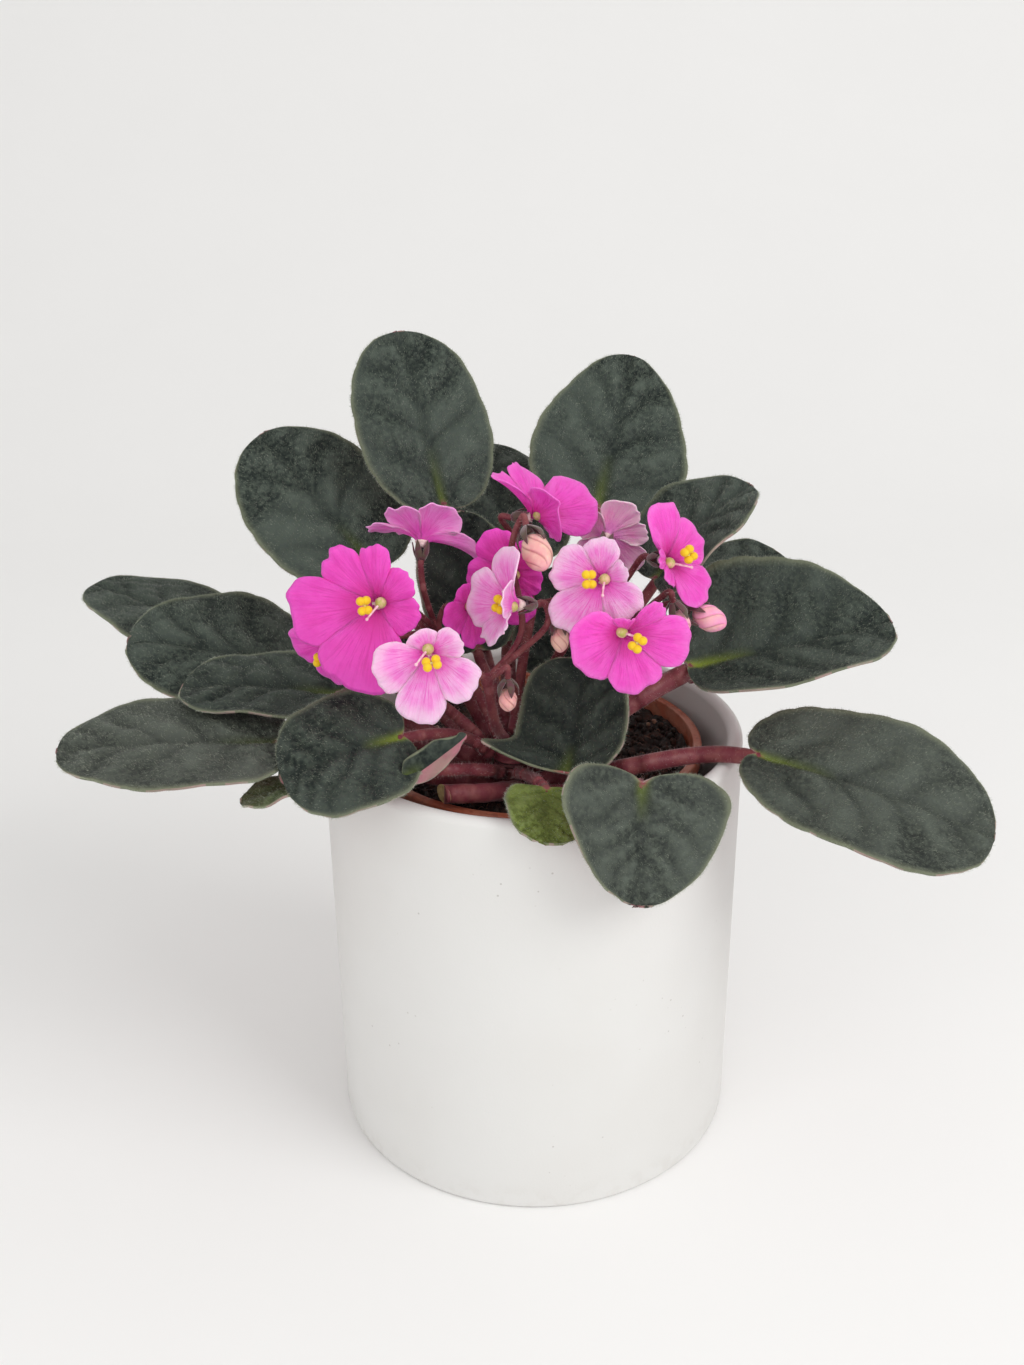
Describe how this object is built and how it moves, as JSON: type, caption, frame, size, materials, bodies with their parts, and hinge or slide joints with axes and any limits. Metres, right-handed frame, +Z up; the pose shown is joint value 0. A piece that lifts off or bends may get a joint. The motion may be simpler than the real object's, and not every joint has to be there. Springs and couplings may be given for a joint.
{
  "type": "potted african violet",
  "caption": "African violet plant with a rosette of broad quilted leaves on red petioles and clusters of open five-lobed blooms, in a plain round cachepot.",
  "frame": {"origin": "centre of the cachepot's flat base", "axes": "+Z up; the pictured side faces -Y and +X is to its right"},
  "size_m": [0.2959, 0.1692, 0.2557],
  "materials": {
    "white_ceramic": "matt white glaze, smooth with faint specks",
    "terracotta_plastic": "thin terracotta-red plastic, dusty",
    "peat": "moist dark peat mix",
    "red_stem": "maroon stem with fine pale hairs",
    "leaf_green": "dark grey-green hairy leaf, quilted between its veins, paler and pinkish underneath",
    "pink_petal": "soft glistening pink petal, magenta at the throat",
    "yellow_anther": "matt bright yellow",
    "pale_bud": "cream-pink furled petals"
  },
  "bodies": {
    "root": {"cachepot": "white_ceramic", "nursery_pot": "terracotta_plastic", "soil": "peat", "crown": "red_stem", "cut_petiole": "red_stem", "leaf_left_back": "leaf_green", "leaf_left_upper": "leaf_green", "leaf_left_middle": "leaf_green", "leaf_left_front": "leaf_green", "leaf_left_low": "leaf_green", "leaf_front_left": "leaf_green", "leaf_back_left": "leaf_green", "leaf_back_tall": "leaf_green", "leaf_back_middle": "leaf_green", "leaf_back_right": "leaf_green", "leaf_right_upper": "leaf_green", "leaf_right_back": "leaf_green", "leaf_right": "leaf_green", "leaf_right_front": "leaf_green", "leaf_front_cup": "leaf_green", "leaf_front_heart": "leaf_green", "leaf_front_small": "leaf_green", "leaf_inner_back": "leaf_green", "leaf_inner_left": "leaf_green", "leaf_inner_right": "leaf_green", "stalk_front": "red_stem", "stalk_left": "red_stem", "stalk_back": "red_stem", "stalk_right": "red_stem", "bloom_left_large": "pink_petal", "anthers_left_large": "yellow_anther", "bloom_left_hidden": "pink_petal", "anthers_left_hidden": "yellow_anther", "bloom_left_front": "pink_petal", "anthers_left_front": "yellow_anther", "bloom_centre": "pink_petal", "anthers_centre": "yellow_anther", "bloom_centre_back": "pink_petal", "anthers_centre_back": "yellow_anther", "bloom_centre_left": "pink_petal", "anthers_centre_left": "yellow_anther", "bloom_back_left": "pink_petal", "anthers_back_left": "yellow_anther", "bloom_top": "pink_petal", "anthers_top": "yellow_anther", "bloom_back_right": "pink_petal", "anthers_back_right": "yellow_anther", "bloom_right_front": "pink_petal", "anthers_right_front": "yellow_anther", "bloom_right_low": "pink_petal", "anthers_right_low": "yellow_anther", "bloom_right": "pink_petal", "anthers_right": "yellow_anther", "bud_top": "pale_bud", "bud_low": "pale_bud", "bud_middle": "pale_bud", "bud_right": "pale_bud", "bud_right_outer": "pale_bud"}
  },
  "joints": []
}
